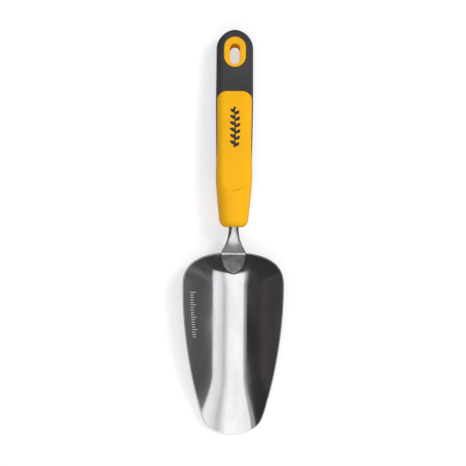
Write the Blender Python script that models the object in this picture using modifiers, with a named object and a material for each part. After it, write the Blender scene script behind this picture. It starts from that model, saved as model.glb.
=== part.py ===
"""A hand trowel: a pressed steel scoop welded to a forged shank, with a two-colour moulded grip.

Metres, +Z up. The trowel lies on its back on z = 0: tip towards -Y, grip towards +Y, X across.
The grip's pieces are modelled in the grip's own frame, which leans on its end: x across, -y from
the hanging end towards the blade (the distance s below), z off the front face.
"""

import math

import bmesh
import bpy
from mathutils import Vector

# The whole tool
HALF_LENGTH = 0.164
GAP = 0.0003
SHARP_ANGLE = math.radians(35)

# Blade: a round channel in sheet metal with straighter walls, closed at the heel and flatter
# towards the tip
SHEET = 0.0012
BLADE_HALF_WIDTH = 0.0407
WALL_SLOPE = 0.72
CHANNEL_SPREAD = 0.022
TIP_CHANNEL_SPREAD = 0.038
HEEL_START_Y = -0.0422
HEEL_EDGE_Y = -0.0151
HEEL_POWER = 2.5
FLARE_START_Y = -0.112
SIDE_TAPER = 0.0154
SIDE_TAPER_LENGTH = 0.105
SIDE_TAPER_POWER = 1.95
TIP_RADIUS = 0.0302
TIP_CORNER = 0.003
TIP_CORNER_REACH = 3
FAN = 0.35
HEEL_STATIONS, SIDE_STATIONS, TIP_STATIONS, ROWS_ACROSS = 12, 15, 12, 9

# Shank: a tongue on the heel's inner face, a sharp bend over its edge, a neck and a tang
NECK_RADIUS = 0.0036
TONGUE_HALF_WIDTH = 0.0094
TONGUE_LENGTH = 0.0155
TONGUE_HALF_THICKNESS = 0.0008
TOE_REACH = 0.0176
CREST_HALF_WIDTH = 0.0098
CREST_RUN = 0.0004
BEND_RADIUS = 0.00105
BEND_END_SLOPE = math.radians(-26)
NECK_CURVE_SHARE = 0.385
FLARE_LENGTH = 0.0084
FLARE_POWER = 1.38
THINNING_POWER = 1.5
STRAP_POWER = 5.5
TANG_LENGTH = 0.086
TANG_FLAT_LENGTH = 0.020
TANG_FLAT_BLEND = 0.008
TANG_FLAT_HALF_WIDTH = 0.0052
TANG_FLAT_HALF_THICKNESS = 0.0026
TANG_FLAT_POWER = 3.5
TANG_END_TAPER = 0.75
TANG_END_TAPER_LENGTH = 0.001
SHANK_SIDES = 20
TONGUE_STATIONS, BEND_STATIONS, NECK_STATIONS = 11, 6, 12

# Weld: a fillet round the tongue, as far as this angle each way from the toe
WELD_RADIUS = 0.00085
WELD_HALF_ANGLE = math.radians(76)
WELD_STATIONS = 30
WELD_LOWEST_REACH = 0.010

# Grip, in its own frame
GRIP_LENGTH = 0.1585
GRIP_TILT = math.radians(2.2)
END_RADIUS = 0.0148
END_FILLET = 0.005
END_FILLET_DEPTH = 0.0036
NOSE_FILLET = 0.0058
NOSE_FILLET_DEPTH = 0.0046
# Each row: distance s, half width, height of the rounded front, depth of the back, flat front, power
GRIP_ROWS = (
    (0.000, 0.01480, 0.0102, 0.0098, 0.0092, 2.8),
    (0.016, 0.01485, 0.0104, 0.0101, 0.0093, 2.8),
    (0.040, 0.01495, 0.0116, 0.0112, 0.0103, 2.8),
    (0.060, 0.01505, 0.0128, 0.0123, 0.0114, 2.8),
    (0.080, 0.01480, 0.0133, 0.0128, 0.0119, 2.8),
    (0.100, 0.01450, 0.0132, 0.0124, 0.0118, 2.8),
    (0.120, 0.01440, 0.0129, 0.0114, 0.0115, 2.7),
    (0.131, 0.01365, 0.0127, 0.0109, 0.0114, 2.5),
    (0.142, 0.01262, 0.0118, 0.0106, 0.0112, 2.3),
    (0.159, 0.01080, 0.0104, 0.0102, 0.0110, 2.2),
)
HALF_WIDTH, CROWN, DEPTH, FLAT, POWER = range(1, 6)
BACK_POWER = 2.35
SHOULDER = 0.0012
BACK_FLAT = 0.0093
BACK_FLAT_END = 0.028
BACK_FLAT_RUNOUT = 0.030
BACK_FLAT_RELEASE = 0.006
THUMB_CENTRE = 0.120
THUMB_RADIUS = 0.0092
THUMB_STEP = 0.0022
THUMB_RISE = 0.0030
GRIP_SIDES = 32
DOME_STATIONS, DOME_FIRST = 8, 0.35
BODY_START, BODY_STEP, BODY_STATIONS = 0.0150, 0.0085, 13
STEP_START, STEP_STEP, STEP_STATIONS = 0.1240, 0.0014, 8
BARREL = (0.1385, 0.1450)
NOSE_STATIONS = 5

# Split between the front panel with its nose sleeve and the back grip
PANEL_START = 0.0503
PANEL_CORNER = 0.0088
PANEL_FLAT_END = 0.0058
PANEL_PROUD = 0.0002
CORNER_STATIONS = 7
SPACE_TOP = 0.030
# Each row: distance s, height of the split above the grip's axis
SPLIT_ROWS = (
    (0.0500, 0.0073),
    (0.0900, 0.0073),
    (0.1050, 0.0052),
    (0.1180, 0.0002),
    (0.1280, -0.0055),
    (0.1360, -0.0115),
    (0.1420, -0.0180),
    (0.1650, -0.0200),
)

# Core: the stiff moulding inside, with ring grooves that lock the grip on
CORE_START = 0.0365
CORE_END = 0.1520
CORE_INSET = 0.0034
CORE_CHAMFER = 0.0015
CORE_END_INSET = 0.001
GROOVE_DEPTH = 0.0011
GROOVE_HALF_LENGTH = 0.002
GROOVE_SIDE = 0.0006
GROOVES = (0.0430, 0.1455)
CORE_SIDES = 24

# Eyelet: an oval bush with a hanging slot
EYELET_S = 0.0184
EYELET_HALF_WIDTH = 0.00885
EYELET_HALF_LENGTH = 0.0124
SLOT_S = 0.0201
SLOT_HALF_WIDTH = 0.0039
SLOT_HALF_LENGTH = 0.0083
EYELET_FRONT = 0.0097
EYELET_BACK = 0.0092
EYELET_ROUND = 0.0009
SLOT_ROUND = 0.0005
FLANGE = 0.0013
FLANGE_HALF_HEIGHT = 0.0015
STADIUM_POINTS = 28


def smooth_step(value):
    value = min(1.0, max(0.0, value))
    return value * value * (3 - 2 * value)


def smooth_min(a, b, width):
    """The smaller of two lengths, rounded over about this width where they cross."""
    near = max(0.0, width - abs(a - b)) / width
    return min(a, b) - near * near * width / 4


def along(rows, s, column):
    """One column of the rows at the distance s, on a smooth curve through them."""
    last = len(rows) - 1
    i = max(n for n in range(last) if n == 0 or rows[n][0] <= s)
    before, a, b, after = (rows[min(last, max(0, n))] for n in (i - 1, i, i + 1, i + 2))
    span = b[0] - a[0]
    t = min(1.0, max(0.0, (s - a[0]) / span))
    start = (b[column] - before[column]) / (b[0] - before[0]) * span
    end = (after[column] - a[column]) / (after[0] - a[0]) * span
    step = smooth_step(t)
    return (
        a[column] * (1 - step)
        + b[column] * step
        + start * t * (1 - t) ** 2
        - end * t * t * (1 - t)
    )


def superellipse(half_width, half_height, power, sides):
    """Points round a section, from +x through +height."""
    points = []
    for i in range(sides):
        angle = 2 * math.pi * (i + 0.5) / sides
        across, up = math.cos(angle), math.sin(angle)
        points.append(
            (
                math.copysign(abs(across) ** (2 / power), across) * half_width,
                math.copysign(abs(up) ** (2 / power), up) * half_height,
            )
        )
    return points


def clear_scene():
    for item in list(bpy.data.objects):
        bpy.data.objects.remove(item, do_unlink=True)


def new_collection(name):
    collection = bpy.data.collections.new(name)
    bpy.context.scene.collection.children.link(collection)
    return collection


def new_material(name, colour, roughness, metallic=0.0):
    material = bpy.data.materials.new(name)
    material.use_nodes = True
    shader = material.node_tree.nodes["Principled BSDF"]
    shader.inputs["Base Color"].default_value = (*colour, 1.0)
    shader.inputs["Roughness"].default_value = roughness
    shader.inputs["Metallic"].default_value = metallic
    material.diffuse_color = (*colour, 1.0)
    return material


def new_piece(name, mesh, collection, material=None, parent=None):
    """An object from a bmesh, shaded smooth up to its sharp edges."""
    data = bpy.data.meshes.new(name)
    mesh.to_mesh(data)
    mesh.free()
    data.shade_smooth()
    data.set_sharp_from_angle(angle=SHARP_ANGLE)
    piece = bpy.data.objects.new(name, data)
    collection.objects.link(piece)
    piece.parent = parent
    if material:
        data.materials.append(material)
    else:
        piece.hide_render = True
        piece.display_type = "WIRE"
    return piece


def loft(rings, closed_loop=False):
    """A closed body through rings of equally many points: flat ends, or the last joined to the first."""
    mesh = bmesh.new()
    loops = [[mesh.verts.new(point) for point in ring] for ring in rings]
    following = loops[1:] + (loops[:1] if closed_loop else [])
    for here, there in zip(loops, following):
        for i in range(len(here)):
            mesh.faces.new((here[i - 1], here[i], there[i], there[i - 1]))
    if not closed_loop:
        mesh.faces.new(loops[0])
        mesh.faces.new(loops[-1])
    bmesh.ops.recalc_face_normals(mesh, faces=mesh.faces)
    return mesh


def cut(piece, tool, operation="DIFFERENCE"):
    modifier = piece.modifiers.new(f"{operation.lower()} {tool.name}", "BOOLEAN")
    modifier.operation = operation
    modifier.object = tool
    modifier.solver = "EXACT"


# Blade


def side_half_width(y):
    down = max(0.0, (HEEL_START_Y - y) / SIDE_TAPER_LENGTH)
    return BLADE_HALF_WIDTH - SIDE_TAPER * down**SIDE_TAPER_POWER


def blade_outline():
    """Half of the blade's edge, from the middle of the heel round to the middle of the tip."""
    points = []
    for i in range(HEEL_STATIONS):
        angle = math.pi / 2 * (1 - i / HEEL_STATIONS)
        x = BLADE_HALF_WIDTH * math.cos(angle) ** (2 / HEEL_POWER) if i else 0.0
        back = math.sin(angle) ** (2 / HEEL_POWER)
        points.append((x, HEEL_START_Y + (HEEL_EDGE_Y - HEEL_START_Y) * back))
    tip_centre = TIP_RADIUS - HALF_LENGTH
    for i in range(SIDE_STATIONS):
        y = HEEL_START_Y + (tip_centre - HEEL_START_Y) * i / SIDE_STATIONS
        tip_limit = TIP_RADIUS + TIP_CORNER_REACH * (y - tip_centre)
        points.append((smooth_min(side_half_width(y), tip_limit, TIP_CORNER), y))
    for i in range(TIP_STATIONS + 1):
        angle = math.pi / 2 * i / TIP_STATIONS
        y = tip_centre - TIP_RADIUS * math.sin(angle)
        arc = TIP_RADIUS * math.cos(angle)
        x = smooth_min(side_half_width(y), arc, TIP_CORNER) if i < TIP_STATIONS else 0.0
        points.append((x, y))
    return points


def blade_centre(y):
    """Where the mesh row that ends on the edge at y starts on the middle line."""
    tip_centre = TIP_RADIUS - HALF_LENGTH
    if y > HEEL_START_Y:
        return HEEL_START_Y + FAN * (y - HEEL_START_Y)
    if y < tip_centre:
        return tip_centre + FAN * (y - tip_centre)
    return y


def channel_height(x, y):
    """Height of the sheet's underside."""
    back = max(0.0, (y - HEEL_START_Y) / (HEEL_EDGE_Y - HEEL_START_Y)) * BLADE_HALF_WIDTH
    reach = (abs(x) ** HEEL_POWER + back**HEEL_POWER) ** (1 / HEEL_POWER)
    flare = smooth_step((FLARE_START_Y - y) / (FLARE_START_Y + HALF_LENGTH))
    spread = CHANNEL_SPREAD + (TIP_CHANNEL_SPREAD - CHANNEL_SPREAD) * flare
    return WALL_SLOPE * (math.hypot(reach, spread) - spread)


def make_blade(collection, material):
    mesh = bmesh.new()
    rows = []
    for edge_x, edge_y in blade_outline():
        middle_y = blade_centre(edge_y)
        row = []
        for j in range(ROWS_ACROSS + 1):
            share = j / ROWS_ACROSS
            x = edge_x * share
            y = middle_y + (edge_y - middle_y) * share
            row.append(mesh.verts.new((x, y, channel_height(x, y))))
        rows.append(row)
    for here, there in zip(rows, rows[1:]):
        for j in range(ROWS_ACROSS):
            mesh.faces.new((here[j], there[j], there[j + 1], here[j + 1]))
    blade = new_piece("blade", mesh, collection, material)
    mirror = blade.modifiers.new("other half", "MIRROR")
    mirror.merge_threshold = 0.00001
    sheet = blade.modifiers.new("sheet", "SOLIDIFY")
    sheet.thickness = SHEET
    sheet.offset = 1.0
    sheet.use_even_offset = True
    return blade


# Shank and weld


def wall_point(reach):
    """Middle of the heel wall's outer face: y, z and how steeply it climbs."""
    depth = HEEL_EDGE_Y - HEEL_START_Y
    spoke = math.hypot(reach, CHANNEL_SPREAD)
    z = WALL_SLOPE * (spoke - CHANNEL_SPREAD)
    slope = math.atan2(WALL_SLOPE * reach * BLADE_HALF_WIDTH / depth, spoke)
    return HEEL_START_Y + depth * reach / BLADE_HALF_WIDTH, z, slope


def wrap(x, reach):
    """How far the heel wall at this height curves towards the tip at x."""
    if not reach:
        return 0.0
    straight = max(0.0, reach**HEEL_POWER - abs(x) ** HEEL_POWER) ** (1 / HEEL_POWER)
    return (reach - straight) * (HEEL_EDGE_Y - HEEL_START_Y) / BLADE_HALF_WIDTH


def strap_ring(centre, slope, half_width, half_thickness, power, reach=0.0):
    """A section square to the shank, bent to the heel wall where it lies on it."""
    ring = []
    for x, up in superellipse(half_width, half_thickness, power, SHANK_SIDES):
        y = centre[0] - up * math.sin(slope) - wrap(x, reach)
        ring.append(Vector((x, y, centre[1] + up * math.cos(slope))))
    return ring


def tongue_rings(grow):
    rings = []
    offset = SHEET + GAP + TONGUE_HALF_THICKNESS
    for i in range(TONGUE_STATIONS + 1):
        share = 1 - math.cos(math.pi / 2 * i / TONGUE_STATIONS)
        reach = TOE_REACH + (BLADE_HALF_WIDTH - TOE_REACH) * share
        y, z, slope = wall_point(reach)
        centre = (y - offset * math.sin(slope), z + offset * math.cos(slope))
        down = min(0.999, (HEEL_EDGE_Y - SHEET - centre[0]) / TONGUE_LENGTH)
        half_width = TONGUE_HALF_WIDTH * math.sqrt(1 - max(0.0, down) ** 2)
        half_thickness = TONGUE_HALF_THICKNESS + grow
        rings.append(
            strap_ring(centre, slope, half_width + grow, half_thickness, STRAP_POWER, reach)
        )
    return rings, centre, slope


def shank_rings(nose, grow=0.0):
    """Sections from the tongue's toe over the bend and down the neck, to the tang's end in the grip."""
    rings, centre, slope = tongue_rings(grow)
    centre = (centre[0] + CREST_RUN * math.cos(slope), centre[1] + CREST_RUN * math.sin(slope))
    pivot = (centre[0] + BEND_RADIUS * math.sin(slope), centre[1] - BEND_RADIUS * math.cos(slope))
    for i in range(BEND_STATIONS + 1):
        turn = slope + (BEND_END_SLOPE - slope) * i / BEND_STATIONS
        centre = (pivot[0] - BEND_RADIUS * math.sin(turn), pivot[1] + BEND_RADIUS * math.cos(turn))
        thickness = TONGUE_HALF_THICKNESS + grow
        rings.append(strap_ring(centre, turn, CREST_HALF_WIDTH + grow, thickness, STRAP_POWER))

    start = Vector((0.0, *centre))
    axis = Vector((0.0, math.cos(GRIP_TILT), -math.sin(GRIP_TILT)))
    reach = (nose.y - start.y) * NECK_CURVE_SHARE
    leave = start + reach * Vector((0.0, math.cos(BEND_END_SLOPE), math.sin(BEND_END_SLOPE)))
    arrive = nose - reach * axis
    for i in range(1, NECK_STATIONS + 1):
        t = i / NECK_STATIONS
        u = 1 - t
        point = start * u**3 + leave * 3 * t * u * u + arrive * 3 * t * t * u + nose * t**3
        along_it = (leave - start) * u * u + (arrive - leave) * 2 * t * u + (nose - arrive) * t * t
        spread = math.exp(-(((point.y - start.y) / FLARE_LENGTH) ** FLARE_POWER))
        half_width = NECK_RADIUS + (CREST_HALF_WIDTH - NECK_RADIUS) * spread
        half_thickness = NECK_RADIUS * (NECK_RADIUS / half_width) ** THINNING_POWER
        power = 2 + (STRAP_POWER - 2) * spread
        turn = math.atan2(along_it.z, along_it.y)
        rings.append(
            strap_ring((point.y, point.z), turn, half_width + grow, half_thickness + grow, power)
        )

    flat_start = TANG_LENGTH - TANG_FLAT_LENGTH
    for distance, flatness, size in (
        (flat_start - TANG_FLAT_BLEND, 0.0, 1.0),
        (flat_start - TANG_FLAT_BLEND / 2, 0.5, 1.0),
        (flat_start, 1.0, 1.0),
        (TANG_LENGTH - TANG_END_TAPER_LENGTH, 1.0, 1.0),
        (TANG_LENGTH + grow, 1.0, TANG_END_TAPER),
    ):
        point = nose + axis * distance
        half_width = NECK_RADIUS + (TANG_FLAT_HALF_WIDTH - NECK_RADIUS) * flatness
        half_thickness = NECK_RADIUS + (TANG_FLAT_HALF_THICKNESS - NECK_RADIUS) * flatness
        rings.append(
            strap_ring(
                (point.y, point.z),
                -GRIP_TILT,
                half_width * size + grow,
                half_thickness * size + grow,
                2 + (TANG_FLAT_POWER - 2) * flatness,
            )
        )
    return rings


def make_weld(collection, material):
    """The fillet's path runs down one edge of the tongue, round its toe and up the other."""
    curve = bpy.data.curves.new("shank_weld", "CURVE")
    curve.dimensions = "3D"
    curve.bevel_depth = WELD_RADIUS
    curve.bevel_resolution = 2
    curve.use_fill_caps = True
    clear = WELD_RADIUS + GAP
    half_width = TONGUE_HALF_WIDTH + clear
    length = TONGUE_LENGTH + clear
    spline = curve.splines.new("POLY")
    spline.points.add(WELD_STATIONS)
    for i in range(WELD_STATIONS + 1):
        angle = WELD_HALF_ANGLE * (2 * i / WELD_STATIONS - 1)
        x = half_width * math.sin(angle)
        target_y = HEEL_EDGE_Y - SHEET - length * math.cos(angle)
        low, high = WELD_LOWEST_REACH, BLADE_HALF_WIDTH
        for _ in range(30):
            reach = (low + high) / 2
            y, z, slope = wall_point(reach)
            y -= (SHEET + clear) * math.sin(slope) + wrap(x, reach)
            z += (SHEET + clear) * math.cos(slope)
            low, high = (reach, high) if y < target_y else (low, reach)
        spline.points[i].co = (x, y, z, 1.0)
    weld = bpy.data.objects.new("shank_weld", curve)
    collection.objects.link(weld)
    curve.materials.append(material)
    return weld


# Grip


def front_limit(s, x):
    """Height of the flat front face, which ends at the thumb rest in a crescent step."""
    flat = along(GRIP_ROWS, s, FLAT)
    if s <= THUMB_CENTRE:
        return flat
    reach = math.hypot(x, s - THUMB_CENTRE)
    return flat + THUMB_RISE * smooth_step((reach - THUMB_RADIUS) / THUMB_STEP)


def grip_ring(s, grow=0.0, sides=GRIP_SIDES):
    """The grip's section at the distance s from its hanging end, bigger by grow all round."""
    half_width = along(GRIP_ROWS, s, HALF_WIDTH)
    inset = 0.0
    if s < END_RADIUS:
        half_width *= math.sqrt(1 - (1 - s / END_RADIUS) ** 2)
    if s < END_FILLET:
        inset = END_FILLET_DEPTH * (1 - math.sqrt(1 - (1 - s / END_FILLET) ** 2))
    past_fillet = (s - GRIP_LENGTH + NOSE_FILLET) / NOSE_FILLET
    if past_fillet > 0:
        inset = NOSE_FILLET_DEPTH * (1 - math.sqrt(max(0.0, 1 - past_fillet**2)))
        half_width -= inset
    crown = along(GRIP_ROWS, s, CROWN) - inset
    depth = along(GRIP_ROWS, s, DEPTH) - inset
    power = along(GRIP_ROWS, s, POWER)
    run_out = smooth_step((s - BACK_FLAT_END) / BACK_FLAT_RUNOUT)
    back_limit = BACK_FLAT - inset + BACK_FLAT_RELEASE * run_out
    ring = []
    for i in range(sides):
        angle = 2 * math.pi * (i + 0.5) / sides
        across, up = math.cos(angle), math.sin(angle)
        bend = power if up > 0 else BACK_POWER
        x = math.copysign(abs(across) ** (2 / bend), across) * (half_width + grow)
        if up > 0:
            height = abs(up) ** (2 / bend) * crown
            height = smooth_min(height, front_limit(s, x) - inset, SHOULDER) + grow * abs(up)
        else:
            height = -smooth_min(abs(up) ** (2 / bend) * depth, back_limit, SHOULDER)
            height -= grow * abs(up)
        ring.append(Vector((x, -s, height)))
    return ring


def grip_stations():
    """Distances of the grip's sections: close together at the rounded ends and the thumb step."""
    dome = [
        END_RADIUS * (1 - math.cos(math.pi / 2 * (i + DOME_FIRST) / DOME_STATIONS))
        for i in range(DOME_STATIONS)
    ]
    body = [BODY_START + BODY_STEP * i for i in range(BODY_STATIONS)]
    step = [STEP_START + STEP_STEP * i for i in range(STEP_STATIONS)]
    barrel = [*BARREL, GRIP_LENGTH - NOSE_FILLET]
    nose = [
        GRIP_LENGTH - NOSE_FILLET * (1 - math.sin(math.pi / 2 * i / NOSE_STATIONS))
        for i in range(1, NOSE_STATIONS + 1)
    ]
    return dome + body + step + barrel + nose


def panel_zone(clear):
    """The space of the front panel and the nose sleeve, bigger by clear than the split itself."""
    stations = [
        PANEL_START + PANEL_CORNER * (1 - math.cos(math.pi / 2 * i / CORNER_STATIONS))
        for i in range(CORNER_STATIONS + 1)
    ]
    stations += [0.066 + 0.008 * i for i in range(5)] + [0.104 + 0.003 * i for i in range(14)]
    rings = []
    for s in stations + [0.150, 0.170]:
        down = min(1.0, (s - PANEL_START) / PANEL_CORNER)
        half_width = PANEL_FLAT_END + PANEL_CORNER * math.sqrt(1 - (1 - down) ** 2) + clear
        half_width += max(0.0, s - PANEL_START - PANEL_CORNER)
        low = along(SPLIT_ROWS, s, 1) - clear
        y = clear - s
        rings.append(
            [
                Vector((-half_width, y, low)),
                Vector((half_width, y, low)),
                Vector((half_width, y, SPACE_TOP)),
                Vector((-half_width, y, SPACE_TOP)),
            ]
        )
    return loft(rings)


def core_body(clear):
    """The core, bigger by clear: its space in the grip has the same grooves, as ribs."""
    rings = []
    edges = [CORE_START - clear, CORE_START + CORE_CHAMFER]
    for middle in GROOVES:
        edges += [
            middle - GROOVE_HALF_LENGTH + clear,
            middle - GROOVE_HALF_LENGTH + clear + GROOVE_SIDE,
            middle + GROOVE_HALF_LENGTH - clear - GROOVE_SIDE,
            middle + GROOVE_HALF_LENGTH - clear,
        ]
    edges += [0.054 + 0.010 * i for i in range(9)] + [CORE_END - CORE_CHAMFER, CORE_END + clear]
    for s in sorted(edges):
        floor = GROOVE_HALF_LENGTH - clear - GROOVE_SIDE / 2
        in_groove = any(abs(s - middle) < floor for middle in GROOVES)
        at_end = s < CORE_START + CORE_END_INSET or s > CORE_END - CORE_END_INSET
        inset = CORE_INSET + GROOVE_DEPTH * in_groove + CORE_END_INSET * at_end
        rings.append(grip_ring(s, clear - inset, CORE_SIDES))
    return loft(rings)


def stadium(half_width, half_length, middle, height):
    """Points round an outline with straight sides and round ends, across the grip's frame."""
    points = []
    straight = half_length - half_width
    for i in range(STADIUM_POINTS):
        angle = 2 * math.pi * (i + 0.5) / STADIUM_POINTS
        side = math.copysign(straight, math.sin(angle))
        y = side + half_width * math.sin(angle) - middle
        points.append(Vector((half_width * math.cos(angle), y, height)))
    return points


def eyelet_body():
    """Rings up the outside over the flange and rounded edges, then down through the slot."""
    profile = (
        (-EYELET_BACK, -EYELET_ROUND),
        (-EYELET_BACK + 0.3 * EYELET_ROUND, -0.3 * EYELET_ROUND),
        (-EYELET_BACK + EYELET_ROUND, 0.0),
        (-FLANGE_HALF_HEIGHT, 0.0),
        (-FLANGE_HALF_HEIGHT, FLANGE),
        (FLANGE_HALF_HEIGHT, FLANGE),
        (FLANGE_HALF_HEIGHT, 0.0),
        (EYELET_FRONT - EYELET_ROUND, 0.0),
        (EYELET_FRONT - 0.3 * EYELET_ROUND, -0.3 * EYELET_ROUND),
        (EYELET_FRONT, -EYELET_ROUND),
    )
    rings = [
        stadium(EYELET_HALF_WIDTH + more, EYELET_HALF_LENGTH + more, EYELET_S, height)
        for height, more in profile
    ]
    slot = (
        (EYELET_FRONT, SLOT_ROUND),
        (EYELET_FRONT - SLOT_ROUND, 0.0),
        (-EYELET_BACK + SLOT_ROUND, 0.0),
        (-EYELET_BACK, SLOT_ROUND),
    )
    rings += [
        stadium(SLOT_HALF_WIDTH + more, SLOT_HALF_LENGTH + more, SLOT_S, height)
        for height, more in slot
    ]
    return loft(rings, closed_loop=True)


def eyelet_space():
    flange = FLANGE_HALF_HEIGHT + GAP
    profile = (
        (-SPACE_TOP, 0.0),
        (-flange, 0.0),
        (-flange, FLANGE),
        (flange, FLANGE),
        (flange, 0.0),
        (SPACE_TOP, 0.0),
    )
    return loft(
        [
            stadium(
                EYELET_HALF_WIDTH + more + GAP, EYELET_HALF_LENGTH + more + GAP, EYELET_S, height
            )
            for height, more in profile
        ]
    )


def grip_frame(collection):
    """An empty at the hanging end, placed so that the grip's end touches z = 0 and y = HALF_LENGTH."""
    frame = bpy.data.objects.new("grip_frame", None)
    collection.objects.link(frame)
    lean = [
        (
            point.y * math.cos(GRIP_TILT) + point.z * math.sin(GRIP_TILT),
            point.z * math.cos(GRIP_TILT) - point.y * math.sin(GRIP_TILT),
        )
        for s in grip_stations()
        for point in grip_ring(s)
    ]
    frame.location = (0.0, HALF_LENGTH - max(y for y, _ in lean), -min(z for _, z in lean))
    frame.rotation_euler.x = -GRIP_TILT
    return frame


def make_trowel():
    clear_scene()
    pieces = new_collection("hand_trowel")
    cutters = new_collection("cutters")
    polished = new_material("polished_steel", (0.62, 0.62, 0.63), 0.12, 1.0)
    forged = new_material("forged_steel", (0.55, 0.55, 0.56), 0.34, 1.0)
    bead = new_material("weld_bead", (0.30, 0.30, 0.31), 0.45, 1.0)
    yellow = new_material("yellow_moulding", (0.97, 0.45, 0.02), 0.45)
    eyelet_yellow = new_material("eyelet_moulding", (0.98, 0.48, 0.03), 0.40)
    charcoal = new_material("charcoal_rubber", (0.045, 0.040, 0.042), 0.60)
    natural = new_material("core_moulding", (0.30, 0.31, 0.32), 0.50)

    make_blade(pieces, polished)
    make_weld(pieces, bead)

    frame = grip_frame(pieces)
    axis = Vector((0.0, -math.cos(GRIP_TILT), math.sin(GRIP_TILT)))
    nose = frame.location + axis * GRIP_LENGTH
    new_piece("shank", loft(shank_rings(nose)), pieces, forged)
    shank_space = new_piece("shank_space", loft(shank_rings(nose, GAP)), cutters)

    core = new_piece("handle_core", core_body(0.0), pieces, natural, frame)
    cut(core, shank_space)
    core_space = new_piece("core_space", core_body(GAP), cutters, parent=frame)

    sections = [grip_ring(s) for s in grip_stations()]
    back = new_piece("grip_back", loft(sections), pieces, charcoal, frame)
    cut(back, new_piece("panel_clearance", panel_zone(GAP), cutters, parent=frame))
    cut(back, core_space)
    cut(back, new_piece("eyelet_space", eyelet_space(), cutters, parent=frame))

    proud = [grip_ring(s, PANEL_PROUD) for s in grip_stations()]
    front = new_piece("grip_front", loft(proud), pieces, yellow, frame)
    cut(front, new_piece("panel_space", panel_zone(0.0), cutters, parent=frame), "INTERSECT")
    cut(front, core_space)
    cut(front, shank_space)

    new_piece("hang_eyelet", eyelet_body(), pieces, eyelet_yellow, frame)


make_trowel()
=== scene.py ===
"""The looks of the hand trowel: fine meshes, materials, studio and camera round the CAD part.

Metres, +Z up, tip towards -Y, grip towards +Y. Grip pieces are shaped in the grip's own frame
(x across, s from the hanging end towards the blade, n off the front face) and turned into the row.
"""

import math

import bmesh
import bpy
from mathutils import Matrix, Vector, kdtree, noise


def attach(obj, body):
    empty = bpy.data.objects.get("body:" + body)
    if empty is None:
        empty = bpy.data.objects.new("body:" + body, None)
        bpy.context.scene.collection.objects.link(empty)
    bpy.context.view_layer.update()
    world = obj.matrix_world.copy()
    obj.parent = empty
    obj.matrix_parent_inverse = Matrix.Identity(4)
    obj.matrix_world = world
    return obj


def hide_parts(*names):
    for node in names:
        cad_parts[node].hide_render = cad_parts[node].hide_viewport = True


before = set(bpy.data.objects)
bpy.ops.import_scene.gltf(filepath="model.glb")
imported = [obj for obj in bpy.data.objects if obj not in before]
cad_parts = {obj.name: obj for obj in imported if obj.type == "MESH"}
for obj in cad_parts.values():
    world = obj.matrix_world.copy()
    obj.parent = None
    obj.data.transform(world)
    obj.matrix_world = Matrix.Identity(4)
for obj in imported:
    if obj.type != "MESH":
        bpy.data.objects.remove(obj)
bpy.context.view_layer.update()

# Two points closer than this are one
MERGE = 0.000002
# Halvings when a place is searched for
BISECTIONS = 40

# Blade: the CAD's channel, on a finer grid
SHEET = 0.0012
HALF_LENGTH = 0.164
BLADE_HALF_WIDTH = 0.0407
WALL_SLOPE = 0.72
CHANNEL_SPREAD = 0.022
TIP_CHANNEL_SPREAD = 0.038
HEEL_START_Y = -0.0422
HEEL_EDGE_Y = -0.0151
HEEL_POWER = 2.5
FLARE_START_Y = -0.112
SIDE_TAPER = 0.0154
SIDE_TAPER_LENGTH = 0.105
SIDE_TAPER_POWER = 1.95
TIP_RADIUS = 0.0302
TIP_CORNER = 0.003
TIP_CORNER_REACH = 3
FAN = 0.35
HEEL_STATIONS, SIDE_STATIONS, TIP_STATIONS, ROWS_ACROSS = 56, 90, 56, 56
NORMAL_STEP = 0.00002
RIM_ROUND, RIM_SEGMENTS = 0.00022, 3
# Where the cut edge's painted shade starts to fade and where the edge is fully bright
EDGE_SHADED_Y, EDGE_UNSHADED_Y = -0.060, -0.100

# Depth ticks on the left wall
TICKS, LONG_EVERY = 19, 5
TICK_START_Y, TICK_STEP = -0.0475, 0.002
LONG_TICK, SHORT_TICK = 0.0042, 0.0026
TICK_EDGE_X, TICK_EDGE_FOLLOW = -0.0352, 0.9
TICK_HALF_WIDTH, TICK_ABOVE = 0.0003, 0.00001

# Shank
GAP = 0.0003
NECK_RADIUS = 0.0036
TONGUE_HALF_WIDTH = 0.0094
TONGUE_LENGTH = 0.0155
TONGUE_HALF_THICKNESS = 0.0008
TOE_REACH = 0.0176
CREST_HALF_WIDTH = 0.0098
CREST_RUN = 0.0004
BEND_RADIUS = 0.00105
BEND_END_SLOPE = math.radians(-26)
NECK_CURVE_SHARE = 0.385
FLARE_LENGTH = 0.0084
FLARE_POWER = 1.38
THINNING_POWER = 1.5
STRAP_POWER = 5.5
TANG_LENGTH, TANG_FLAT_LENGTH, TANG_FLAT_RUN_IN = 0.086, 0.020, 0.008
TANG_FLAT_HALF_WIDTH, TANG_FLAT_HALF_THICKNESS, TANG_FLAT_POWER = 0.0052, 0.0026, 3.5
TANG_END, TANG_END_SIZE = 0.001, 0.75
TONGUE_STATIONS, BEND_STATIONS, NECK_STATIONS, SHANK_SIDES = 40, 18, 48, 64

# Weld bead round the tongue
BEAD_CLEAR, BEAD_RISE = 0.0006, 0.00035
BEAD_HALF_WIDTH, BEAD_HALF_HEIGHT = 0.00075, 0.0007
BEAD_TURN = math.radians(84)
BEAD_STATIONS, BEAD_SIDES = 150, 16
BEAD_SEARCH_START = 0.010
BEAD_LEAN = Vector((0, 0.9, -0.45))
RIPPLE, RIPPLE_STATIONS, UNEVEN, UNEVEN_SCALE = 0.10, 3.1, 0.05, 900

# Grip, in its own frame
HANGING_END = Vector((0.0, 0.163804, 0.009928))
GRIP_LENGTH = 0.1585
GRIP_TILT = math.radians(2.2)
END_RADIUS = 0.0148
END_FILLET, END_FILLET_DEPTH = 0.005, 0.0036
NOSE_FILLET, NOSE_FILLET_DEPTH = 0.0058, 0.0046
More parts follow.
